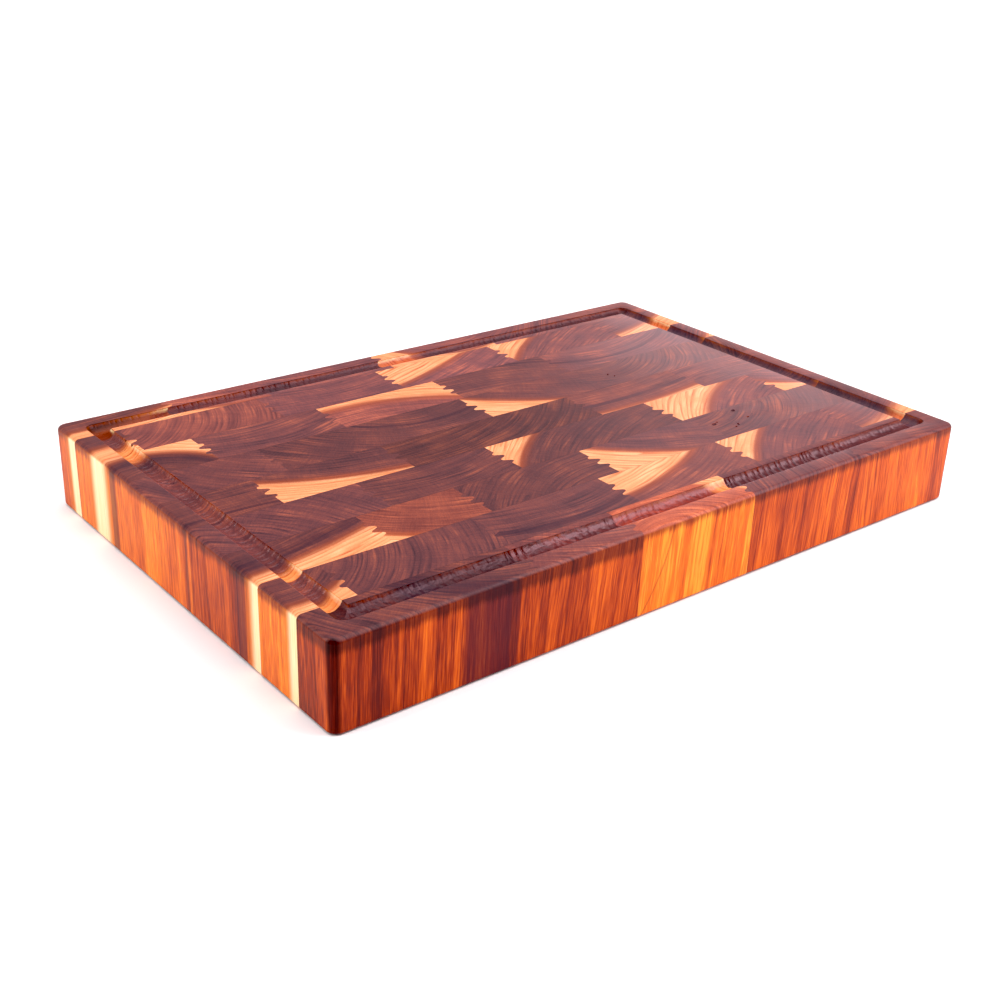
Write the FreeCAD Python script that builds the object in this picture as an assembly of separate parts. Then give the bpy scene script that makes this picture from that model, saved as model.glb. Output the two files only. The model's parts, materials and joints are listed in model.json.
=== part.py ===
import FreeCAD, Part
import math
import os

# An end-grain cutting board. Nine strips run along X, and each strip is a row of wooden
# blocks that meet at finger joints. Every block is a solid of its own, glued face to face.
# Units are millimetres. The origin is the middle of the underside, with +Z up.

# The board
BOARD_LENGTH = 457.2
BOARD_WIDTH = 304.8
BOARD_HEIGHT = 50.8
CORNER_RADIUS = 6.0
TOP_EDGE_RADIUS = 2.8
BOTTOM_EDGE_RADIUS = 2.0

# The juice groove, cut by a round-nosed bit that follows the board's edge
GROOVE_BIT_RADIUS = 6.35
GROOVE_DEPTH = 4.1
GROOVE_MARGIN = 12.5

# The strips. The middle seven have the full width, and the two outer ones are trimmed.
STRIP_WIDTH = 35.2

# The finger joints: two fingers each way, in the middle of the strip's width
FINGER_COUNT = 4
FINGER_SPACING = 4.2
FINGER_REACH = 2.6
FINGER_TIP_HEIGHT = 0.55
FINGER_TIP_HALF_WIDTH = 1.15

# Where the joints fall along each strip, from the back strip to the front one. The first
# number says which way the rearmost finger points: -1 to the left, +1 to the right.
STRIPS = [
    (-1, [-160.0, -99.0, -6.0, 81.0, 152.0]),
    (1, [-202.0, -110.0, -21.5, 72.0, 167.0]),
    (1, [-173.0, -88.5, -0.5, 88.5]),
    (-1, [-149.0, -5.0, 88.5]),
    (-1, [-172.8, -88.5, 53.5, 143.5]),
    (-1, [-128.0, -39.3, 88.3, 182.5]),
    (-1, [-151.0, -88.0, 3.0, 93.0]),
    (1, [-195.5, -102.5, -13.8, 79.8, 173.5]),
    (1, [-108.5, -39.3, 45.0, 138.0]),
]

# How far the outermost blocks are made past the board before it is trimmed to size
TRIM_ALLOWANCE = 10.0

# Edges within this distance of a face lie in that face
SAME_HEIGHT = 0.01


def board_blank():
    """Return the whole board with its corners and edges rounded, before the groove."""
    blank = Part.makeBox(BOARD_LENGTH, BOARD_WIDTH, BOARD_HEIGHT)
    blank.translate(FreeCAD.Vector(-BOARD_LENGTH / 2, -BOARD_WIDTH / 2, 0))
    upright = [edge for edge in blank.Edges if edge.BoundBox.ZLength > BOARD_HEIGHT / 2]
    blank = blank.makeFillet(CORNER_RADIUS, upright)
    top = [edge for edge in blank.Edges if edge.BoundBox.ZMin > BOARD_HEIGHT - SAME_HEIGHT]
    blank = blank.makeFillet(TOP_EDGE_RADIUS, top)
    bottom = [edge for edge in blank.Edges if edge.BoundBox.ZMax < SAME_HEIGHT]
    return blank.makeFillet(BOTTOM_EDGE_RADIUS, bottom)


def groove_half_width():
    """Return half the groove's width at the top face, from the bit's round nose."""
    rise = GROOVE_BIT_RADIUS - GROOVE_DEPTH
    return math.sqrt(GROOVE_BIT_RADIUS ** 2 - rise ** 2)


def groove_cutter():
    """Return the space that the round-nosed bit sweeps on its way round the board."""
    inset = GROOVE_MARGIN + groove_half_width()
    reach_x = BOARD_LENGTH / 2 - inset
    reach_y = BOARD_WIDTH / 2 - inset
    height = BOARD_HEIGHT - GROOVE_DEPTH + GROOVE_BIT_RADIUS
    corners = [(-reach_x, -reach_y), (reach_x, -reach_y), (reach_x, reach_y), (-reach_x, reach_y)]
    pieces = []
    for index, (x, y) in enumerate(corners):
        start = FreeCAD.Vector(x, y, height)
        end = FreeCAD.Vector(*corners[(index + 1) % len(corners)], height)
        run = end - start
        pieces.append(Part.makeCylinder(GROOVE_BIT_RADIUS, run.Length, start, run))
        pieces.append(Part.makeSphere(GROOVE_BIT_RADIUS, start))
    return pieces[0].multiFuse(pieces[1:])


def joint_line(joint_x, centre_y, rear_side):
    """Return the edges of one finger joint, from the strip's front edge to its rear edge."""

    def point(offset_x, offset_y):
        return FreeCAD.Vector(joint_x + offset_x, centre_y + offset_y, 0)

    half_fingers = FINGER_COUNT * FINGER_SPACING / 2
    root_x = FINGER_REACH - FINGER_TIP_HEIGHT
    edges = []
    last = point(0, -half_fingers)
    edges.append(Part.LineSegment(point(0, -STRIP_WIDTH / 2), last).toShape())
    for index in range(FINGER_COUNT):
        side = rear_side * (-1) ** (FINGER_COUNT - 1 - index)
        finger_y = (index + 0.5) * FINGER_SPACING - half_fingers
        tip_start = point(side * root_x, finger_y - FINGER_TIP_HALF_WIDTH)
        tip = point(side * FINGER_REACH, finger_y)
        tip_end = point(side * root_x, finger_y + FINGER_TIP_HALF_WIDTH)
        edges.append(Part.LineSegment(last, tip_start).toShape())
        edges.append(Part.Arc(tip_start, tip, tip_end).toShape())
        last = tip_end
    shoulder = point(0, half_fingers)
    edges.append(Part.LineSegment(last, shoulder).toShape())
    edges.append(Part.LineSegment(shoulder, point(0, STRIP_WIDTH / 2)).toShape())
    return edges


def outer_end(end_x, centre_y):
    """Return the straight end of an outermost block, past the board's own end."""
    front = FreeCAD.Vector(end_x, centre_y - STRIP_WIDTH / 2, 0)
    rear = FreeCAD.Vector(end_x, centre_y + STRIP_WIDTH / 2, 0)
    return [Part.LineSegment(front, rear).toShape()]


def block_prism(left_x, left_edges, right_x, right_edges, centre_y):
    """Return the full-height prism between two end lines of a strip."""
    edges = left_edges + right_edges
    for offset in (-STRIP_WIDTH / 2, STRIP_WIDTH / 2):
        left = FreeCAD.Vector(left_x, centre_y + offset, 0)
        right = FreeCAD.Vector(right_x, centre_y + offset, 0)
        edges.append(Part.LineSegment(left, right).toShape())
    outline = Part.Wire(Part.sortEdges(edges)[0])
    return Part.Face(outline).extrude(FreeCAD.Vector(0, 0, BOARD_HEIGHT))


def strip_blocks(board, centre_y, rear_side, joints):
    """Return the blocks of one strip, from left to right, trimmed to the finished board."""
    outer_x = BOARD_LENGTH / 2 + TRIM_ALLOWANCE
    places = [-outer_x] + joints + [outer_x]
    blocks = []
    for left_x, right_x in zip(places, places[1:]):
        ends = []
        for end_x in (left_x, right_x):
            if abs(end_x) == outer_x:
                ends.append(outer_end(end_x, centre_y))
            else:
                ends.append(joint_line(end_x, centre_y, rear_side))
        prism = block_prism(left_x, ends[0], right_x, ends[1], centre_y)
        blocks.append(prism.common(board).Solids[0])
    return blocks


def make_parts():
    """Write one STEP file for each block of the board."""
    os.makedirs("parts", exist_ok=True)
    board = board_blank().cut(groove_cutter())
    rear_centre = (len(STRIPS) - 1) / 2 * STRIP_WIDTH
    for row, (rear_side, joints) in enumerate(STRIPS):
        centre_y = rear_centre - row * STRIP_WIDTH
        for column, block in enumerate(strip_blocks(board, centre_y, rear_side, joints)):
            block.exportStep(f"parts/strip_{row + 1}_block_{column + 1}.step")


make_parts()
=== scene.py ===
import json
import math
from functools import partial

import bmesh
import bpy
from mathutils import Matrix, Quaternion, Vector, noise


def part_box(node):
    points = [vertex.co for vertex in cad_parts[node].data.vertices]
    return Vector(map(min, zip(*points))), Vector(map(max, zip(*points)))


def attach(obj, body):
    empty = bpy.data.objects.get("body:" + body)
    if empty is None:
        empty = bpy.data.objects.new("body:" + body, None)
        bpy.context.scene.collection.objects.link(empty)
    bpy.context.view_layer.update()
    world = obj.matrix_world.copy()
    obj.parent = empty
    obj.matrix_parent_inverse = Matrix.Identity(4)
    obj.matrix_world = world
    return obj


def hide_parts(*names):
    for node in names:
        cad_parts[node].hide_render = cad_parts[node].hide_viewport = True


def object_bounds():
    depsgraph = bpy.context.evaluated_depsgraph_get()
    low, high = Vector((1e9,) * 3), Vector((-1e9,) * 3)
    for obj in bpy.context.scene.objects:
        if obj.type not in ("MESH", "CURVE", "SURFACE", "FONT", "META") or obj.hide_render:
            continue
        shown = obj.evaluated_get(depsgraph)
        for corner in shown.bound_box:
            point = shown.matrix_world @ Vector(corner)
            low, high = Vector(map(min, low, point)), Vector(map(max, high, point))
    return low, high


# The looks of an end-grain cutting board: oiled wood whose growth rings, sapwood and streaks
# are worked out block by block, and a routed juice groove with the marks of its cutter.
# Everything is in metres in the row frame, except the grain's own numbers, in millimetres.

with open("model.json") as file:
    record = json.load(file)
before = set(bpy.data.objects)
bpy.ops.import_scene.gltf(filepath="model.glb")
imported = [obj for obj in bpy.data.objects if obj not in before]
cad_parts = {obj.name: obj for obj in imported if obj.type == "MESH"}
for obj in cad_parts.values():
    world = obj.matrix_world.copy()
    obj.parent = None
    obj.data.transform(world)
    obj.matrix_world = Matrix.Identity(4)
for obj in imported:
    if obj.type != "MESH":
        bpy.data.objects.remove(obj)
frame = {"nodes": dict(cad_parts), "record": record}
cad_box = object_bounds()

MM = 0.001
HALF = 0.5
NODES = {entry["node"]: entry["material_slot"] for entry in frame["record"]["subparts"]}
BOARD_LOW, BOARD_HIGH = cad_box
TOP = BOARD_HIGH.z

# The camera: where it looks from, what it looks at, and its lens
CAMERA_AZIMUTH = math.radians(-39.16)
CAMERA_ELEVATION = math.radians(25.15)
CAMERA_ROLL = math.radians(2.01)
CAMERA_DISTANCE = 0.8738
CAMERA_TARGET = Vector((-0.0079, 0.0047, 0.0))
CAMERA_LENS_MM = 50.65
SENSOR_MM = 36.0

# The floor and the light round it
FLOOR_HALF_SIZE = 9.0
FLOOR_DROP = 0.0003
CAMERA_REACH = 4 * FLOOR_HALF_SIZE
SKY_HORIZON = 1.15
SKY_ZENITH = 0.38
SKY_FADE_HEIGHT = 0.32
SUN_STRENGTH = 2.9
SUN_SPREAD = math.radians(75)
# name, place, size in metres, power in watts, colour
SOFTBOXES = [
    ("key_softbox", (0.95, -0.85, 1.05), 0.9, 20.0, (1.0, 0.86, 0.88)),
    ("front_softbox", (1.2, -1.7, 0.35), 0.9, 9.5, (1.0, 0.95, 0.9)),
    ("left_softbox", (-1.9, 0.75, 0.7), 1.0, 20.0, (1.0, 0.96, 0.92)),
    ("rear_softbox", (2.3, 1.8, 0.38), 0.9, 8.5, (1.0, 0.74, 0.78)),
]

# The groove: a round-nosed bit's path, which follows the board's edge
GROOVE_BIT = 6.35 * MM
GROOVE_DEPTH = 4.1 * MM
GROOVE_MARGIN = 12.5 * MM
GROOVE_OVERCUT = 0.04 * MM
LIP_RADIUS = 0.4 * MM
CUTTER_STEP = 0.4 * MM
CUTTER_ARC_STEPS = 16
CUTTER_LIP_STEPS = 3
CUTTER_OVERRUN = 1.0 * MM
CUTTER_TURNS = 48
# The marks that the bit leaves: narrow slanting notches across the groove, a slow waviness,
# and torn fibres where there are few notches
NOTCH_SPACING = 4.7 * MM
NOTCH_DEPTH = 0.5 * MM
NOTCH_JITTER = 2.2
NOTCHES_PER_JITTER = 2
NOTCH_SLANT = 0.35
NOTCH_SHARPNESS = 7
NOTCH_UNEVENNESS = 1.2
FEW_NOTCHES = 0.2
WAVE_LENGTH = 16.0 * MM
WAVE_DEPTH = 0.3 * MM
ROUGH_LENGTH = 3.5 * MM
ROUGH_WIDTH = 1.3 * MM
ROUGH_DEPTH = 0.75 * MM
LITTLE_TORN = 0.4
# The marks fade up the groove's walls
MARK_FADE_POWER = 0.5
# Each kind of mark reads a layer of the noise of its own
WANDER_LAYER, WAVE_LAYER, ROUGH_LAYER, UNEVEN_LAYER = 3.1, 9.4, 1.8, 6.2
# Where the fibres are torn most: the groove's run, from and to, and how much
TORN = {"front": [(-205 * MM, -45 * MM, 1.0)]}
# Where the notches are deep, told in the same way
NOTCHED = {
    "front": [(-112 * MM, -100 * MM, 1.0), (-42 * MM, -5 * MM, 0.4), (44 * MM, 145 * MM, 0.9)],
    "back": [(-200 * MM, -60 * MM, 0.5), (60 * MM, 200 * MM, 0.4)],
    "left": [(-110 * MM, 120 * MM, 0.55)],
    "right": [(-110 * MM, 60 * MM, 0.3)],
}

# Edges that turn by more than this stay sharp
SHARP_TURN = math.radians(35)
SAME_POINT = 0.001 * MM

# Worm holes and short checks in the top face: x, y, length, width and turn, in millimetres
# and degrees
PITS = {
    "strip_7_block_5": [
        (100.0, -68.0, 4.4, 2.8, 20), (104.0, -66.5, 2.2, 1.6, 0), (127.0, -58.5, 4.0, 2.6, 40),
        (127.0, -71.0, 2.2, 1.5, 10), (113.0, -76.0, 3.4, 1.7, 60), (109.0, -78.0, 2.0, 1.4, 0),
    ],
    "strip_4_block_4": [(105.0, 34.5, 3.0, 1.2, 40), (107.0, 30.0, 2.2, 1.0, 30)],
}
PIT_DEPTH = 0.7 * MM
PIT_SIDES = 16

# Grain. Each block is cut across a log, so its rings are circles round a pith that mostly
# lies outside the block. Sapwood starts where the rings pass the heart radius; a negative
# radius has it inside that ring instead. tone lightens or darkens the end grain, red moves
# it from purple-brown towards red, side does the same for the upright faces, lean is how
# far the fibres lean along X per unit of height, band is a dark ring as (radius, half
# width), soft is how far the sapwood takes to fade in, and border is how wide the orange
# heartwood beside it is. vein is where a thin dark curve leaves the front's top edge, and
# soak is how far down oil has darkened the upright face.
ALL_HEART = 10000.0
NO_BAND = (0.0, 1.0)
NO_VEIN = 10000.0
SOAK_DEPTH = 3.0


def grain(x, y, heart=ALL_HEART, tone=1.0, red=0.0, side=0.0, lean=0.03, band=NO_BAND,
          soft=4.0, border=8.0, vein=NO_VEIN, soak=SOAK_DEPTH):
    """Return the five vectors that the wood material reads from a block."""
    return {
        "pith": (x, y, heart),
        "tint": (tone, red, side),
        "mark": (band[0], band[1], lean),
        "edge": (soft, border, vein),
        "oil": (soak, 0.0, 0.0),
    }


GRAIN = [
    [  # strip 1, the back one
        grain(-228, 359, heart=227, side=-0.1), grain(-100, 300, heart=180, tone=1.65, red=0.3),
        grain(-45, 300, tone=1.55), grain(58, 180, heart=57, tone=1.6),
        grain(30, 230, tone=1.45), grain(260, 330, tone=1.3, red=0.2),
    ],
    [
        grain(-240, 240, heart=140, side=0.18, soft=7, border=9), grain(-225, 147, tone=1.4, red=0.3),
        grain(-58, 262, tone=1.5), grain(-139, 485, heart=-407, tone=1.7),
        grain(247, -85, heart=250, tone=1.4), grain(133, 296, heart=207, tone=1.3, soft=7),
    ],
    [
        grain(-215, 32, heart=53, soft=8, side=0.12, border=9, band=(44, 4)), grain(-130, 165, tone=1.25),
        grain(-80, -66.5, heart=150, tone=1.6, red=0.3, soft=8, border=12),
        grain(5, -110, tone=1.1, band=(205, 1.5)), grain(135, 173, heart=146, tone=1.35, band=(111, 1.8)),
    ],
    [
        grain(-95, 111, tone=1.15, side=0.12), grain(-35, 112, band=(78, 1.5)),
        grain(130, 199, heart=200, tone=1.1, red=0.1), grain(112, 88),
    ],
    [
        grain(-200, -190, side=0.08, band=(178.5, 1.3)), grain(-60, 212, heart=231, soft=5, border=9),
        grain(-77, 133, tone=0.75), grain(80, 369, heart=387, tone=1.1, red=0.3, band=(373, 2)),
        grain(180, -250, tone=1.2, red=0.1),
    ],
    [
        grain(-278, -113, tone=1.2), grain(-87, 95), grain(119, -187, heart=210, tone=0.9),
        grain(225, -160, heart=158.5, tone=1.35, soft=8, border=10), grain(264, 59, heart=123.5, tone=1.4),
    ],
    [
        grain(-249, 229, heart=311, side=-0.03, band=(300, 4.5), soft=7),
        grain(-61, 20.6, heart=134, tone=1.2, red=0.6), grain(0, -152, tone=0.95),
        grain(133, 66.5, heart=173, tone=1.15), grain(94, 0, tone=1.05),
    ],
    [
        grain(-221, -71, heart=46, side=0.2, soft=6), grain(-230, -60, tone=1.1),
        grain(-58, 15, tone=1.1, band=(134, 3)), grain(-36, 74, heart=-187, tone=1.2, red=0.2),
        grain(257, -295, heart=250, tone=1.3), grain(140, 82, heart=211, tone=1.3, soft=13),
    ],
    [  # strip 9, the front one
        grain(-92, -65, side=-0.16, band=(99.5, 7.5), soak=5),
        grain(-5, -16, tone=1.3, red=0.2, side=-0.08, lean=0.1, soak=7),
        grain(-22, -185, heart=78.5, tone=1.6, red=1.0, side=0.2, lean=0.05, soft=6, border=3,
              vein=-17, soak=2),
        grain(-30, -110, tone=1.2, side=-0.05, lean=0.05),
        grain(224, -11, tone=1.2, side=0.0, lean=-0.05),
    ],
]

# The bit's centre line, from the middle of the board
GROOVE_HALF_WIDTH = math.sqrt(GROOVE_BIT ** 2 - (GROOVE_BIT - GROOVE_DEPTH) ** 2)
GROOVE_LINE_X = BOARD_HIGH.x - GROOVE_MARGIN - GROOVE_HALF_WIDTH
GROOVE_LINE_Y = BOARD_HIGH.y - GROOVE_MARGIN - GROOVE_HALF_WIDTH
STRIP_WIDTH = 35.2 * MM

# How many octaves a noise has
LITTLE_DETAIL, SOME_DETAIL, MUCH_DETAIL = 1.0, 2.0, 3.0

# The size of each feature of the wood's figure, in millimetres
WANDER_LENGTH = 55.0
WANDER_REACH = 7.0
PATCH_SIZE = 24.0
BROAD_WIDTH = 9.0
BROAD_RUN = 80.0
STREAK_WIDTH = 3.0
STREAK_RUN = 45.0
RING_WIDTH = 1.1
RING_RUN = 26.0
YEAR_WIDTH = 3.3
YEAR_WOBBLE = 4.0
YEAR_DARKENS = (0.45, 0.95)
RAYS_PER_RADIAN = 160.0
RAY_LENGTH = 9.0
PORE_SIZE = 0.55
FIBRE_WIDTH = 0.7
FIBRE_RUN = 15.0
# The rings are clear in some places and faint in others
CLEARING_SIZE = 17.0
CLEARING_EDGES = (0.38, 0.62)
FAINTEST, CLEAREST = 0.4, 1.25
# Features are drawn out along the fibres, which stand upright
FIBRE_STRETCH = 9.0
FIBRE_LENGTH = 260.0

# How much each feature lightens or darkens each kind of wood
END_FIGURE = {
    "broad": 0.45, "streaks": 0.5, "years": 0.16, "rings": 0.6, "patches": 0.5, "rays": 0.25,
    "pores": 0.4,
}
SIDE_FIGURE = {
    "broad": 0.68, "streaks": 0.42, "years": 0.06, "rings": 0.4, "patches": 0.65, "fibres": 0.8,
}
END_SAP_FIGURE = {"broad": 0.35, "streaks": 0.5, "years": 0.35, "rings": 0.8, "pores": 0.35}
SIDE_SAP_FIGURE = {"streaks": 0.4, "rings": 0.7, "fibres": 0.4}
SEED_SCALE = 0.37

# Dark bands, the border that heartwood has against sapwood, and how ragged they are
BAND_EDGES = (1.3, 0.6)
BAND_RAGGEDNESS = {"rings": 0.8}
END_BAND_STRENGTH = 0.55
SIDE_BAND_STRENGTH = 0.7
BORDER_STRENGTH = 0.7
SAP_RAGGEDNESS = {"pores": 1.2}

# Oil soaks down the heartwood's fibres from the top edge. The upright corners are darkened as painted
# shade.
SOAK_FADE = 5.0
SOAK_RAGGEDNESS = {"broad": 5.0, "fibres": 5.0}
SOAK_STRENGTH = 0.85
CORNER_SHADE_TURNS = (0.1, 0.45)
END_GRAIN_SLOPE = (0.25, 0.7)

# The glue lines between the strips
GLUE_HALF_WIDTH = 0.11
GLUE_FADED = 2 * GLUE_HALF_WIDTH
GLUE_STRENGTH = 0.35

# The thin dark curve on an upright face: how far it has swung to the left at the bottom,
# how fast it swings, how wide it is and how dark
VEIN_SWING = -18.0
VEIN_POWER = 1.8
VEIN_HALF_WIDTH = 1.2
VEIN_STRENGTH = 0.6

# Colours, from dark to light, as linear red, green and blue
END_HEART = [
    (0.15, (0.041, 0.018, 0.024)), (0.42, (0.083, 0.030, 0.034)), (0.62, (0.135, 0.042, 0.039)),
    (0.85, (0.25, 0.072, 0.046)),
]
RED_HEART = [
    (0.15, (0.08, 0.018, 0.014)), (0.42, (0.17, 0.038, 0.024)), (0.62, (0.26, 0.062, 0.032)),
    (0.85, (0.40, 0.11, 0.05)),
]
SIDE_HEART = [
    (0.12, (0.09, 0.009, 0.007)), (0.34, (0.25, 0.027, 0.006)), (0.52, (0.47, 0.073, 0.008)),
    (0.72, (0.70, 0.15, 0.013)), (0.92, (0.86, 0.30, 0.03)),
]
END_SAP = [
    (0.15, (0.46, 0.12, 0.045)), (0.4, (0.66, 0.21, 0.085)), (0.62, (0.77, 0.31, 0.14)),
    (0.9, (0.82, 0.42, 0.22)),
]
SIDE_SAP = [
    (0.12, (0.76, 0.34, 0.09)), (0.4, (0.86, 0.62, 0.30)), (0.7, (0.90, 0.80, 0.56)),
]
END_BAND = (0.028, 0.012, 0.024, 1.0)
SIDE_BAND = (0.07, 0.008, 0.016, 1.0)
END_BORDER = (0.30, 0.062, 0.02, 1.0)
SIDE_BORDER = (0.70, 0.20, 0.025, 1.0)
GLUE_COLOUR = (0.03, 0.008, 0.007, 1.0)
SOAK_TINT = (0.28, 0.2, 0.42, 1.0)
CORNER_SHADE = (0.25, 0.08, 0.12, 1.0)
VEIN_COLOUR = (0.26, 0.035, 0.01, 1.0)
SKY_COLOUR = (1.0, 0.83, 0.86, 1.0)
FLOOR_TONES = [(0.0, (0.87, 0.85, 0.86)), (1.0, (0.91, 0.9, 0.9))]
BLACK_LEVEL = 0.022

# The finishes: the sanded faces; the groove, which drinks more oil and is darkened by painted
# shade in its hollow; a lighter copy of it, painted light, for the left run; darker copies,
# painted shade, for the back run, the right run and the back-left block; and where the bit
# burnt the wood in the front-left block, darkened further by painted shade, which also paints
# shade into the pits. There is a tint for the heartwood, for the sapwood and for the sheen.
# "corners" is how much painted shade darkens the upright corners.
PLAIN = (1.0, 1.0, 1.0, 1.0)
OILED_SAP = (0.97, 0.8, 0.52, 1.0)
PINK_SHEEN = (1.0, 0.72, 0.8, 1.0)
FINISHES = {
    "face": {
        "heart": PLAIN, "sap": PLAIN, "sheen": PLAIN,
        "roughness": 0.42, "specular": 0.22, "corners": 1.0,
    },
    # The groove: darker for the oil it drinks, and darker still as painted shade in its hollow
    "groove": {
        "heart": (0.5, 0.27, 0.3, 1.0), "sap": OILED_SAP, "sheen": PINK_SHEEN,
        "roughness": 0.33, "specular": 0.58, "corners": 0.0,
    },
    # Painted light: the left run's groove made lighter
    "lit_left_groove": {
        "heart": (1.32, 1.15, 1.08, 1.0), "sap": OILED_SAP, "sheen": PINK_SHEEN,
        "roughness": 0.33, "specular": 0.45, "corners": 0.0,
    },
    # Burnt by the bit, and darkened further as painted shade; also the pits' painted shade
    "burnt_and_shaded": {
        "heart": (0.38, 0.25, 0.32, 1.0), "sap": (0.65, 0.38, 0.21, 1.0), "sheen": PINK_SHEEN,
        "roughness": 0.36, "specular": 0.4, "corners": 0.0,
    },
    # Painted shade: the back run's groove made darker
    "shaded_back_groove": {
        "heart": (0.29, 0.17, 0.21, 1.0), "sap": (0.6, 0.33, 0.18, 1.0), "sheen": PINK_SHEEN,
        "roughness": 0.36, "specular": 0.4, "corners": 0.0,
    },
    # Painted shade: the back-left block's groove, darkest of all
    "darkest_shaded_groove": {
        "heart": (0.08, 0.03, 0.03, 1.0), "sap": (0.24, 0.09, 0.035, 1.0), "sheen": PINK_SHEEN,
        "roughness": 0.36, "specular": 0.3, "corners": 0.0,
    },
    # Painted shade: the right run's groove, darker and purple
    "shaded_right_groove": {
        "heart": (0.56, 0.68, 0.95, 1.0), "sap": (0.75, 0.45, 0.3, 1.0), "sheen": PLAIN,
        "roughness": 0.45, "specular": 0.3, "corners": 0.0,
    },
}
# The groove's finish in each run: painted light in the left run, painted shade in the back and right runs
RUN_FINISHES = {"front": "groove", "back": "shaded_back_groove", "left": "lit_left_groove", "right": "shaded_right_groove"}
# The blocks whose groove has one finish all the way: burnt and painted shade at the front left, darkest
# painted shade at the back left
BLOCK_FINISHES = {"strip_9_block_1": "burnt_and_shaded", "strip_1_block_1": "darkest_shaded_groove"}
GLOSS_FIGURE = {"pores": 0.12, "patches": 0.1, "fibres": 0.1}
WOOD_IOR = 1.45
FLOOR_ROUGHNESS = 0.7
FLOOR_SPECULAR = 0.2
RELIEF = 0.1 * MM
RELIEF_STRENGTH = 0.5
RELIEF_FIGURE = {"pores": 0.6, "fibres": 0.6, "rings": 0.3}


class Graph:
    """Adds nodes to a node tree. An input may be a number, a tuple or a node's output."""

    def __init__(self, tree):
        self.tree = tree

    def node(self, kind, **settings):
        made = self.tree.nodes.new(kind)
        for name, value in settings.items():
            setattr(made, name, value)
        return made

    def feed(self, socket, value):
        if isinstance(value, bpy.types.NodeSocket):
            self.tree.links.new(value, socket)
        else:
            socket.default_value = value

    def maths(self, operation, *inputs):
        made = self.node("ShaderNodeMath", operation=operation)
        for socket, value in zip(made.inputs, inputs):
            self.feed(socket, value)
        return made.outputs["Value"]

    def vector_maths(self, operation, *inputs):
        made = self.node("ShaderNodeVectorMath", operation=operation)
        for socket, value in zip(made.inputs, inputs):
            self.feed(socket, value)
        return made.outputs["Vector"]

    def split(self, vector):
        made = self.node("ShaderNodeSeparateXYZ")
        self.feed(made.inputs["Vector"], vector)
        return made.outputs["X"], made.outputs["Y"], made.outputs["Z"]

    def join(self, x, y, z):
        made = self.node("ShaderNodeCombineXYZ")
        for socket, value in zip(made.inputs, (x, y, z)):
            self.feed(socket, value)
        return made.outputs["Vector"]

    def noise(self, vector, w=0.0, detail=SOME_DETAIL):
        """4-D noise with features about one unit apart."""
        made = self.node("ShaderNodeTexNoise", noise_dimensions="4D")
        self.feed(made.inputs["Vector"], vector)
        self.feed(made.inputs["W"], w)
        made.inputs["Scale"].default_value = 1.0
        made.inputs["Detail"].default_value = detail
        made.inputs["Roughness"].default_value = HALF
        return made.outputs["Fac"]

    def step(self, value, start, end):
        """A smooth step from 0 at start to 1 at end."""
        made = self.node("ShaderNodeMapRange", interpolation_type="SMOOTHSTEP")
        self.feed(made.inputs["Value"], value)
        self.feed(made.inputs["From Min"], start)
        self.feed(made.inputs["From Max"], end)
        return made.outputs["Result"]

    def blend(self, factor, first, second, mode="MIX"):
        made = self.node("ShaderNodeMix", data_type="RGBA", blend_type=mode)
        inputs = {socket.identifier: socket for socket in made.inputs}
        self.feed(inputs["Factor_Float"], factor)
        self.feed(inputs["A_Color"], first)
        self.feed(inputs["B_Color"], second)
        return next(socket for socket in made.outputs if socket.identifier == "Result_Color")

    def ramp(self, factor, stops):
        made = self.node("ShaderNodeValToRGB")
        elements = made.color_ramp.elements
        while len(elements) < len(stops):
            elements.new(1.0)
        for element, (position, colour) in zip(elements, stops):
            element.position = position
            element.color = colour + (1.0,)
        self.feed(made.inputs["Fac"], factor)
        return made.outputs["Color"]


def block_values(graph, name):
    """Return the three numbers of one of the block's own vectors."""
    made = graph.node("ShaderNodeAttribute", attribute_type="OBJECT", attribute_name=name)
    return graph.split(made.outputs["Vector"])


def wood_place(graph, lean):
    """Return x, y and z in millimetres, with x straightened along the fibres' lean."""
    coordinates = graph.node("ShaderNodeTexCoord")
    place = graph.vector_maths("MULTIPLY", coordinates.outputs["Object"], (1 / MM, 1 / MM, 1 / MM))
    x, y, z = graph.split(place)
    below_top = graph.maths("SUBTRACT", z, TOP / MM)
    return graph.maths("SUBTRACT", x, graph.maths("MULTIPLY", below_top, lean)), y, z


def facing(graph):
    """Return how far the surface faces along each axis, without its sign."""
    normal = graph.node("ShaderNodeTexCoord").outputs["Normal"]
    return graph.split(graph.vector_maths("ABSOLUTE", normal))


def spaced(graph, place, sizes, seed, detail=SOME_DETAIL):
    """Return noise whose features have a size along each of three directions."""
    scaled = [graph.maths("DIVIDE", value, size) for value, size in zip(place, sizes)]
    return graph.noise(graph.join(*scaled), seed, detail)


def from_pith(graph, place, pith, seed):
    """Return the distance from the pith, the same with the slow wander of rings, and the angle."""
    x, y, _ = place
    across = graph.maths("SUBTRACT", x, pith[0])
    along = graph.maths("SUBTRACT", y, pith[1])
    squares = graph.maths("MULTIPLY_ADD", across, across, graph.maths("MULTIPLY", along, along))
    sizes = (WANDER_LENGTH, WANDER_LENGTH, WANDER_LENGTH * FIBRE_STRETCH)
    wander = graph.maths("SUBTRACT", spaced(graph, place, sizes, seed), HALF)
    radius = graph.maths("SQRT", squares)
    ring = graph.maths("MULTIPLY_ADD", wander, WANDER_REACH, radius)
    return radius, ring, graph.maths("ARCTAN2", along, across)


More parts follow.
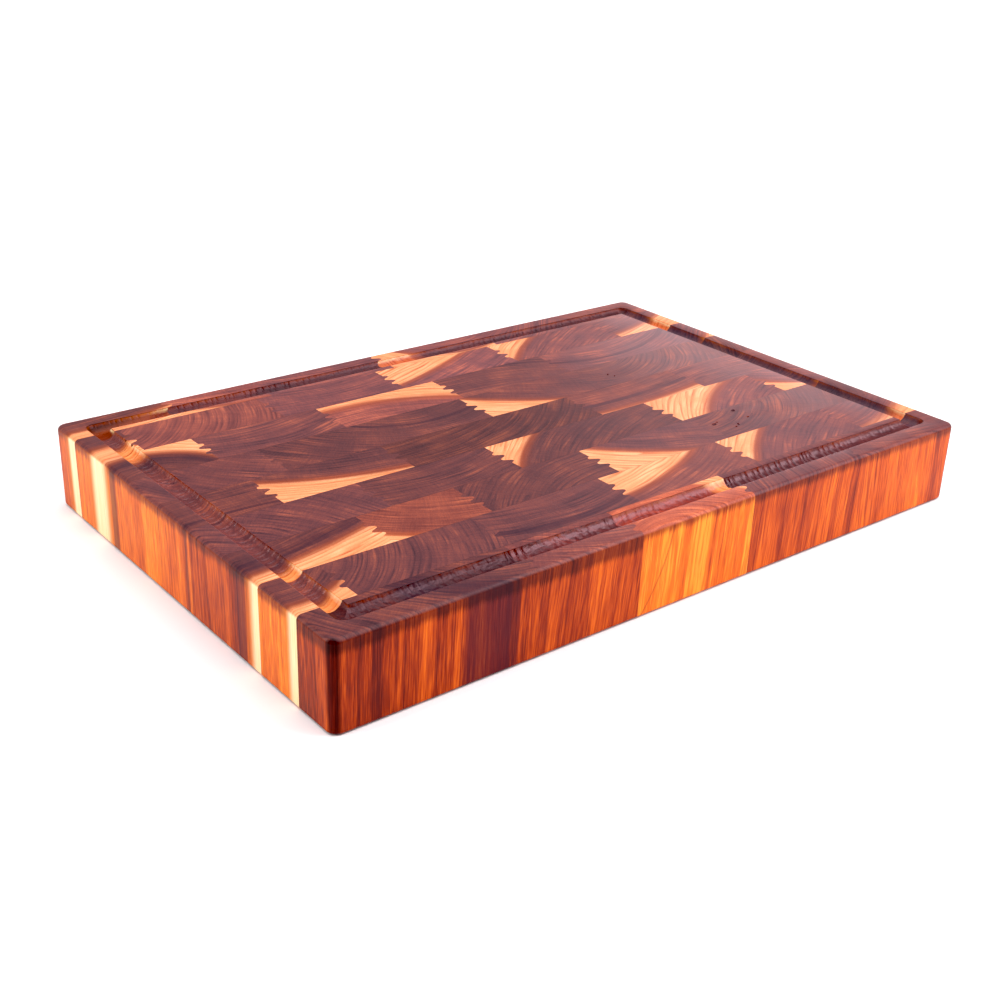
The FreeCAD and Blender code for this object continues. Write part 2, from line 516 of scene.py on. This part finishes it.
def wood_figure(graph, place, ring, angle, seed):
    """Return the features of the wood's figure by name, each a noise round one half."""
    x, y, z = place
    up = graph.maths("MULTIPLY_ADD", z, 1 / FIBRE_LENGTH, seed)
    turned = graph.maths("MULTIPLY", angle, RAYS_PER_RADIAN)
    ringed = (ring, x, y)
    broad = spaced(graph, ringed, (BROAD_WIDTH, BROAD_RUN, BROAD_RUN), up)
    years = graph.maths("MULTIPLY_ADD", broad, YEAR_WOBBLE, graph.maths("DIVIDE", ring, YEAR_WIDTH))
    late = graph.step(graph.maths("FRACT", years), *YEAR_DARKENS)
    patch_sizes = (PATCH_SIZE, PATCH_SIZE, PATCH_SIZE * FIBRE_STRETCH)
    pore_sizes = (PORE_SIZE, PORE_SIZE, PORE_SIZE * FIBRE_STRETCH)
    figure = {
        "broad": broad,
        "years": graph.maths("SUBTRACT", 1.0, late),
        "streaks": spaced(graph, ringed, (STREAK_WIDTH, STREAK_RUN, STREAK_RUN), up),
        "rings": spaced(graph, ringed, (RING_WIDTH, RING_RUN, RING_RUN), up),
        "patches": spaced(graph, place, patch_sizes, seed),
        "rays": spaced(graph, (turned, ring, z), (1.0, RAY_LENGTH, RAY_LENGTH), seed, LITTLE_DETAIL),
        "pores": spaced(graph, place, pore_sizes, seed, LITTLE_DETAIL),
        "fibres": spaced(graph, place, (FIBRE_WIDTH, FIBRE_WIDTH, FIBRE_RUN), seed, MUCH_DETAIL),
    }
    sizes = (CLEARING_SIZE, CLEARING_SIZE, CLEARING_SIZE * FIBRE_STRETCH)
    clear = graph.step(spaced(graph, place, sizes, up), *CLEARING_EDGES)
    clear = graph.maths("MULTIPLY_ADD", clear, CLEAREST - FAINTEST, FAINTEST)
    for name in ("years", "streaks", "rings"):
        off_middle = graph.maths("SUBTRACT", figure[name], HALF)
        figure[name] = graph.maths("MULTIPLY_ADD", off_middle, clear, HALF)
    return figure


def mixed(graph, start, figure, shares):
    """Return a value moved up and down by some of the figure's features."""
    for name, share in shares.items():
        off_middle = graph.maths("SUBTRACT", figure[name], HALF)
        start = graph.maths("MULTIPLY_ADD", off_middle, share, start)
    return start


def tinted(graph, factor, colour, tint):
    """Return a colour multiplied by a tint, by as much as the factor says."""
    return graph.blend(factor, colour, tint, "MULTIPLY")


def heartwood(graph, figure, radius, tint):
    """Return the heartwood's colours on the end grain and on the upright faces."""
    tone, red, side = block_values(graph, "tint")
    band_radius, band_width, _ = block_values(graph, "mark")
    end_value = mixed(graph, HALF, figure, END_FIGURE)
    end = graph.blend(red, graph.ramp(end_value, END_HEART), graph.ramp(end_value, RED_HEART))
    end = tinted(graph, 1.0, end, graph.join(tone, tone, tone))
    # The finish's heartwood tint, which carries the groove's painted light and shade
    end = tinted(graph, 1.0, end, tint)
    side = graph.ramp(mixed(graph, graph.maths("ADD", side, HALF), figure, SIDE_FIGURE), SIDE_HEART)

    off_band = graph.maths("DIVIDE", graph.maths("SUBTRACT", radius, band_radius), band_width)
    off_band = mixed(graph, graph.maths("ABSOLUTE", off_band), figure, BAND_RAGGEDNESS)
    in_band = graph.step(off_band, *BAND_EDGES)
    end = graph.blend(graph.maths("MULTIPLY", in_band, END_BAND_STRENGTH), end, END_BAND)
    side = graph.blend(graph.maths("MULTIPLY", in_band, SIDE_BAND_STRENGTH), side, SIDE_BAND)
    return end, side


def with_sapwood(graph, end, side, figure, radius, tint):
    """Return both colours with the sapwood, and the orange border that lies against it."""
    _, _, heart = block_values(graph, "pith")
    soft, border, _ = block_values(graph, "edge")
    ragged_radius = mixed(graph, radius, figure, SAP_RAGGEDNESS)
    past = graph.maths("SUBTRACT", ragged_radius, graph.maths("ABSOLUTE", heart))
    past = graph.maths("MULTIPLY", past, graph.maths("SIGN", heart))
    fade_start = graph.maths("MULTIPLY", soft, -HALF)
    fade_end = graph.maths("MULTIPLY", soft, HALF)
    in_sap = graph.step(past, fade_start, fade_end)
    near_sap = graph.step(past, graph.maths("MULTIPLY", border, -1.0), 0.0)
    near_sap = graph.maths("MULTIPLY", near_sap, BORDER_STRENGTH)
    end_sap = graph.ramp(mixed(graph, HALF, figure, END_SAP_FIGURE), END_SAP)
    # The finish's sapwood tint, which carries the groove's painted light and shade
    end_sap = tinted(graph, 1.0, end_sap, tint)
    side_sap = graph.ramp(mixed(graph, HALF, figure, SIDE_SAP_FIGURE), SIDE_SAP)
    end = graph.blend(in_sap, graph.blend(near_sap, end, END_BORDER), end_sap)
    side = graph.blend(in_sap, graph.blend(near_sap, side, SIDE_BORDER), side_sap)
    return end, side


def with_oil(graph, colour, figure, z):
    """Return the upright faces' colour, darkened under the top edge where oil has soaked in."""
    soak, _, _ = block_values(graph, "oil")
    soak_line = mixed(graph, graph.maths("SUBTRACT", TOP / MM, soak), figure, SOAK_RAGGEDNESS)
    soaked = graph.step(z, graph.maths("SUBTRACT", soak_line, SOAK_FADE), soak_line)
    return tinted(graph, graph.maths("MULTIPLY", soaked, SOAK_STRENGTH), colour, SOAK_TINT)


def vein_share(graph, place):
    """Return how far a point lies in the block's thin dark curve."""
    x, _, z = place
    _, _, start = block_values(graph, "edge")
    down = graph.maths("SUBTRACT", 1.0, graph.maths("DIVIDE", z, TOP / MM))
    swing = graph.maths("MULTIPLY", graph.maths("POWER", down, VEIN_POWER), VEIN_SWING)
    off_curve = graph.maths("SUBTRACT", x, graph.maths("ADD", start, swing))
    on_curve = graph.step(graph.maths("ABSOLUTE", off_curve), VEIN_HALF_WIDTH, 0.0)
    return graph.maths("MULTIPLY", on_curve, VEIN_STRENGTH)


def glue_share(graph, y):
    """Return how far a point lies in a glue line between two strips."""
    in_strips = graph.maths("MULTIPLY_ADD", y, MM / STRIP_WIDTH, HALF)
    off_line = graph.maths("MULTIPLY", graph.maths("PINGPONG", in_strips, HALF), STRIP_WIDTH / MM)
    on_line = graph.step(off_line, GLUE_FADED, GLUE_HALF_WIDTH)
    return graph.maths("MULTIPLY", on_line, GLUE_STRENGTH)


def wood_material(name, finish):
    """Return oiled wood in some finish. It reads each block's own grain from its object."""
    material = bpy.data.materials.new(name)
    material.use_nodes = True
    graph = Graph(material.node_tree)
    shader = material.node_tree.nodes["Principled BSDF"]

    pith = block_values(graph, "pith")
    lean = block_values(graph, "mark")[2]
    seed = graph.maths("MULTIPLY", graph.maths("ADD", pith[0], pith[1]), SEED_SCALE)
    place = wood_place(graph, lean)
    radius, ring, angle = from_pith(graph, place, pith, seed)
    figure = wood_figure(graph, place, ring, angle, seed)
    facing_x, facing_y, facing_z = facing(graph)

    end, side = heartwood(graph, figure, radius, finish["heart"])
    side = graph.blend(vein_share(graph, place), side, VEIN_COLOUR)
    side = with_oil(graph, side, figure, place[2])
    end, side = with_sapwood(graph, end, side, figure, radius, finish["sap"])
    colour = graph.blend(graph.step(facing_z, *END_GRAIN_SLOPE), side, end)
    # Painted shade on the upright corners, where the side lights miss them
    shaded_corner = graph.step(graph.maths("MINIMUM", facing_x, facing_y), *CORNER_SHADE_TURNS)
    colour = tinted(graph, graph.maths("MULTIPLY", shaded_corner, finish["corners"]), colour, CORNER_SHADE)
    colour = graph.blend(glue_share(graph, place[1]), colour, GLUE_COLOUR)
    graph.feed(shader.inputs["Base Color"], colour)

    graph.feed(shader.inputs["Roughness"], mixed(graph, finish["roughness"], figure, GLOSS_FIGURE))
    shader.inputs["IOR"].default_value = WOOD_IOR
    shader.inputs["Specular IOR Level"].default_value = finish["specular"]
    shader.inputs["Specular Tint"].default_value = finish["sheen"]

    bump = graph.node("ShaderNodeBump")
    bump.inputs["Distance"].default_value = RELIEF
    bump.inputs["Strength"].default_value = RELIEF_STRENGTH
    graph.feed(bump.inputs["Height"], mixed(graph, HALF, figure, RELIEF_FIGURE))
    graph.feed(shader.inputs["Normal"], bump.outputs["Normal"])
    return material


def steady_noise(x, y, z):
    """Return smooth noise from 0 to 1 that is the same on every run."""
    return HALF + HALF * noise.noise(Vector((x, y, z)))


def strength_at(table, run, along, elsewhere):
    """Return a table's strength at a distance along one of the groove's runs."""
    for start, end, strength in table.get(run, []):
        if start <= along <= end:
            return strength
    return elsewhere


def bit_depth(run, along, turn):
    """Return how much deeper the bit cut here, from its distance along and its angle."""
    wander = steady_noise(along / (NOTCH_SPACING * NOTCHES_PER_JITTER), 0, WANDER_LAYER)
    phase = along / NOTCH_SPACING + NOTCH_JITTER * wander + NOTCH_SLANT * turn
    strength = strength_at(NOTCHED, run, along, FEW_NOTCHES)
    uneven = 1 + NOTCH_UNEVENNESS * (steady_noise(along / NOTCH_SPACING, turn, UNEVEN_LAYER) - HALF)
    notch = (HALF + HALF * math.cos(2 * math.pi * phase)) ** NOTCH_SHARPNESS * strength * uneven
    wave = steady_noise(along / WAVE_LENGTH, turn, WAVE_LAYER)
    rough = steady_noise(along / ROUGH_LENGTH, turn * GROOVE_BIT / ROUGH_WIDTH, ROUGH_LAYER)
    rough *= (1 - strength) * strength_at(TORN, run, along, LITTLE_TORN)
    return GROOVE_OVERCUT + notch * NOTCH_DEPTH + wave * WAVE_DEPTH + rough * ROUGH_DEPTH


def groove_profile():
    """Return the bit's half section from its tip to above the board, as (turn, across, height).

    The turn is the angle up the bit's round nose, and None on the rounded lip.
    """
    bit = GROOVE_BIT + GROOVE_OVERCUT
    bit_height = TOP - GROOVE_DEPTH + GROOVE_BIT
    lip_height = TOP - LIP_RADIUS
    rise = bit_height - lip_height
    lip_across = math.sqrt((bit + LIP_RADIUS) ** 2 - rise ** 2)
    last_turn = math.atan2(lip_across, rise)
    points = []
    for index in range(CUTTER_ARC_STEPS + 1):
        turn = last_turn * index / CUTTER_ARC_STEPS
        points.append((turn, bit * math.sin(turn), bit_height - bit * math.cos(turn)))
    for index in range(1, CUTTER_LIP_STEPS + 1):
        turn = last_turn * (1 - index / CUTTER_LIP_STEPS)
        across = lip_across - LIP_RADIUS * math.sin(turn)
        points.append((None, across, lip_height + LIP_RADIUS * math.cos(turn)))
    points.append((None, lip_across, TOP + LIP_RADIUS))
    return points


def cutter_row(profile, run, along, side):
    """Return one half section with the bit's marks in it, as (across, height) pairs."""
    row = []
    for turn, across, height in profile:
        if turn is not None:
            fade = math.cos(turn) ** MARK_FADE_POWER
            depth = bit_depth(run, along, side * turn) * fade
            across += depth * math.sin(turn)
            height -= depth * math.cos(turn)
        row.append((side * across, height))
    return row


def add_cutter(name, rows, place):
    """Return a closed mesh object from rows of points, each row placed by a function."""
    builder = bmesh.new()
    rings = []
    for along, row in rows:
        rings.append([builder.verts.new(place(along, across, height)) for across, height in row])
    for first, second in zip(rings, rings[1:]):
        for index in range(len(first)):
            after = (index + 1) % len(first)
            builder.faces.new((first[index], first[after], second[after], second[index]))
    builder.faces.new(reversed(rings[0]))
    builder.faces.new(rings[-1])
    bmesh.ops.recalc_face_normals(builder, faces=builder.faces)
    mesh = bpy.data.meshes.new(name)
    builder.to_mesh(mesh)
    builder.free()
    return bpy.data.objects.new(name, mesh)


def run_cutter(run, start, end, place):
    """Return the cutter for a straight stretch of groove between two distances along it."""
    profile = groove_profile()
    count = max(2, round((end - start) / CUTTER_STEP))
    rows = []
    for index in range(count + 1):
        along = start + (end - start) * index / count
        left = cutter_row(profile, run, along, -1)
        right = cutter_row(profile, run, along, 1)
        rows.append((along, left[::-1] + right[1:]))
    return add_cutter("groove_run", rows, place)


def corner_cutter(corner_x, corner_y):
    """Return the cutter for a corner, where the bit stops and turns."""
    profile = groove_profile()
    builder = bmesh.new()
    tip = builder.verts.new((corner_x, corner_y, profile[0][2] - GROOVE_OVERCUT))
    cap = builder.verts.new((corner_x, corner_y, profile[-1][2]))
    spokes = []
    for index in range(CUTTER_TURNS):
        angle = 2 * math.pi * index / CUTTER_TURNS
        row = cutter_row(profile, "corner", corner_x + corner_y + angle * GROOVE_BIT, 1)[1:]
        spoke = []
        for across, height in row:
            x = corner_x + across * math.cos(angle)
            y = corner_y + across * math.sin(angle)
            spoke.append(builder.verts.new((x, y, height)))
        spokes.append(spoke)
    for index, first in enumerate(spokes):
        second = spokes[(index + 1) % CUTTER_TURNS]
        builder.faces.new((tip, first[0], second[0]))
        builder.faces.new((first[-1], cap, second[-1]))
        for low in range(len(first) - 1):
            builder.faces.new((first[low], first[low + 1], second[low + 1], second[low]))
    bmesh.ops.recalc_face_normals(builder, faces=builder.faces)
    mesh = bpy.data.meshes.new("groove_corner")
    builder.to_mesh(mesh)
    builder.free()
    return bpy.data.objects.new("groove_corner", mesh)


def pit_cutter(x, y, length, width, turn):
    """Return a small boat-shaped cutter for a worm hole or a check."""
    builder = bmesh.new()
    shape = (
        Matrix.Translation((x * MM, y * MM, TOP))
        @ Matrix.Rotation(math.radians(turn), 4, "Z")
        @ Matrix.Diagonal((length * MM / 2, width * MM / 2, PIT_DEPTH, 1))
    )
    bmesh.ops.create_uvsphere(
        builder, u_segments=PIT_SIDES, v_segments=PIT_SIDES // 2, radius=1, matrix=shape)
    mesh = bpy.data.meshes.new("pit")
    builder.to_mesh(mesh)
    builder.free()
    return bpy.data.objects.new("pit", mesh)


def place_along_x(line_y, along, across, height):
    """Return the place of a cutter's point, for a run of the groove that follows X."""
    return along, line_y + across, height


def place_along_y(line_x, along, across, height):
    """Return the place of a cutter's point, for a run of the groove that follows Y."""
    return line_x + across, along, height


def cutters_for(node):
    """Return the cutters that this block needs, each with the finish, painted light and shade included, of
    the surface that it cuts.
    """
    low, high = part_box(node)
    cutters = []
    finishes = RUN_FINISHES
    if node in BLOCK_FINISHES:
        finishes = dict.fromkeys(RUN_FINISHES, BLOCK_FINISHES[node])
    for run, line_y in (("front", -GROOVE_LINE_Y), ("back", GROOVE_LINE_Y)):
        if low.y < line_y < high.y:
            start = max(low.x - CUTTER_OVERRUN, -GROOVE_LINE_X)
            end = min(high.x + CUTTER_OVERRUN, GROOVE_LINE_X)
            cutter = run_cutter(run, start, end, partial(place_along_x, line_y))
            cutters.append((cutter, finishes[run]))
    for run, line_x in (("left", -GROOVE_LINE_X), ("right", GROOVE_LINE_X)):
        if low.x < line_x < high.x:
            start = max(low.y - CUTTER_OVERRUN, -GROOVE_LINE_Y)
            end = min(high.y + CUTTER_OVERRUN, GROOVE_LINE_Y)
            cutter = run_cutter(run, start, end, partial(place_along_y, line_x))
            cutters.append((cutter, finishes[run]))
    for corner_x in (-GROOVE_LINE_X, GROOVE_LINE_X):
        for run, corner_y in (("front", -GROOVE_LINE_Y), ("back", GROOVE_LINE_Y)):
            if low.x < corner_x < high.x and low.y < corner_y < high.y:
                cutters.append((corner_cutter(corner_x, corner_y), finishes[run]))
    # The pits' insides get the burnt finish, as painted shade
    for pit in PITS.get(node, []):
        cutters.append((pit_cutter(*pit), "burnt_and_shaded"))
    return cutters


def whole_copy(node):
    """Return a copy of a CAD block's mesh with its split corners joined up again."""
    builder = bmesh.new()
    builder.from_mesh(frame["nodes"][node].data)
    bmesh.ops.remove_doubles(builder, verts=builder.verts, dist=SAME_POINT)
    for face in builder.faces:
        face.material_index = 0
    mesh = bpy.data.meshes.new(node + "_cut")
    builder.to_mesh(mesh)
    builder.free()
    return bpy.data.objects.new(node + "_cut", mesh)


def cut_block(node, cutters, woods):
    """Return the block with its groove and pits cut afresh, marks, finish and all."""
    piece = whole_copy(node)
    piece.data.materials.append(woods["face"])
    bpy.context.collection.objects.link(piece)
    for cutter, finish in cutters:
        cutter.data.materials.append(woods[finish])
        bpy.context.collection.objects.link(cutter)
        cut = piece.modifiers.new("cut", "BOOLEAN")
        cut.operation = "DIFFERENCE"
        cut.solver = "EXACT"
        cut.material_mode = "TRANSFER"
        cut.object = cutter
    evaluated = piece.evaluated_get(bpy.context.evaluated_depsgraph_get())
    mesh = bpy.data.meshes.new_from_object(evaluated)
    piece.modifiers.clear()
    piece.data = mesh
    for cutter, _ in cutters:
        bpy.data.objects.remove(cutter)
    smooth_but_sharp(mesh)
    return piece


def smooth_but_sharp(mesh):
    """Shade a mesh smooth, except at the edges that really are edges."""
    builder = bmesh.new()
    builder.from_mesh(mesh)
    for face in builder.faces:
        face.smooth = True
    for edge in builder.edges:
        edge.smooth = len(edge.link_faces) == 2 and edge.calc_face_angle() < SHARP_TURN
    builder.to_mesh(mesh)
    builder.free()


def give_grain(piece, node):
    """Tell a block's material where its tree's heart is, and how the block is toned."""
    strip, block = (int(number) - 1 for number in node.split("_")[1::2])
    for name, value in GRAIN[strip][block].items():
        piece[name] = value


def finish_blocks():
    """Give each block its wood, and cut the groove's marks into the blocks that it crosses."""
    woods = {name: wood_material(name + "_wood", finish) for name, finish in FINISHES.items()}
    for node, slot in NODES.items():
        cutters = cutters_for(node)
        if cutters:
            piece = cut_block(node, cutters, woods)
            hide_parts(node)
            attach(piece, "root")
        else:
            piece = frame["nodes"][node]
            for held in piece.material_slots:
                held.link = "OBJECT"
                held.material = woods["face"]
        give_grain(piece, node)


def add_floor():
    """Add the plain pale floor under the board."""
    half = FLOOR_HALF_SIZE
    mesh = bpy.data.meshes.new("floor")
    corners = [(-half, -half, 0), (half, -half, 0), (half, half, 0), (-half, half, 0)]
    mesh.from_pydata(corners, [], [(0, 1, 2, 3)])
    floor = bpy.data.objects.new("floor", mesh)
    floor.location.z = BOARD_LOW.z - FLOOR_DROP
    bpy.context.collection.objects.link(floor)
    material = bpy.data.materials.new("pale_floor")
    material.use_nodes = True
    graph = Graph(material.node_tree)
    shader = material.node_tree.nodes["Principled BSDF"]
    coordinates = graph.node("ShaderNodeTexCoord")
    mottle = graph.noise(coordinates.outputs["Object"], detail=MUCH_DETAIL)
    graph.feed(shader.inputs["Base Color"], graph.ramp(mottle, FLOOR_TONES))
    shader.inputs["Roughness"].default_value = FLOOR_ROUGHNESS
    shader.inputs["Specular IOR Level"].default_value = FLOOR_SPECULAR
    mesh.materials.append(material)


def add_light():
    """Add the sky, a broad soft sun from above, and the softboxes."""
    world = bpy.data.worlds.new("studio")
    world.use_nodes = True
    bpy.context.scene.world = world
    graph = Graph(world.node_tree)
    direction = graph.node("ShaderNodeTexCoord").outputs["Generated"]
    height = graph.split(direction)[2]
    level = graph.step(height, 0.0, SKY_FADE_HEIGHT)
    strength = graph.maths("MULTIPLY_ADD", level, SKY_ZENITH - SKY_HORIZON, SKY_HORIZON)
    graph.feed(world.node_tree.nodes["Background"].inputs["Strength"], strength)
    world.node_tree.nodes["Background"].inputs["Color"].default_value = SKY_COLOUR

    sun = bpy.data.lights.new("overhead_sun", "SUN")
    sun.energy = SUN_STRENGTH
    sun.angle = SUN_SPREAD
    bpy.context.collection.objects.link(bpy.data.objects.new("overhead_sun", sun))

    for name, place, size, power, colour in SOFTBOXES:
        light = bpy.data.lights.new(name, "AREA")
        light.size = size
        light.energy = power
        light.color = colour
        holder = bpy.data.objects.new(name, light)
        holder.location = place
        holder.rotation_euler = (-Vector(place)).to_track_quat("-Z", "Y").to_euler()
        bpy.context.collection.objects.link(holder)


def add_camera():
    """Add the camera, which circles its target at a set azimuth and elevation."""
    level = math.cos(CAMERA_ELEVATION)
    back = Vector((
        math.sin(CAMERA_AZIMUTH) * level,
        -math.cos(CAMERA_AZIMUTH) * level,
        math.sin(CAMERA_ELEVATION),
    ))
    lens = bpy.data.cameras.new("camera")
    lens.lens = CAMERA_LENS_MM
    lens.sensor_width = SENSOR_MM
    lens.clip_end = CAMERA_REACH
    camera = bpy.data.objects.new("camera", lens)
    camera.location = CAMERA_TARGET + back * CAMERA_DISTANCE
    aim = (-back).to_track_quat("-Z", "Y") @ Quaternion((0, 0, 1), CAMERA_ROLL)
    camera.rotation_euler = aim.to_euler()
    bpy.context.collection.objects.link(camera)
    bpy.context.scene.camera = camera


def set_tones():
    """Show plain tones with a slightly raised black level."""
    view = bpy.context.scene.view_settings
    view.view_transform = "Standard"
    view.use_curve_mapping = True
    view.curve_mapping.black_level = (BLACK_LEVEL, BLACK_LEVEL, BLACK_LEVEL)
    view.curve_mapping.update()


set_tones()
add_camera()
add_light()
add_floor()
finish_blocks()
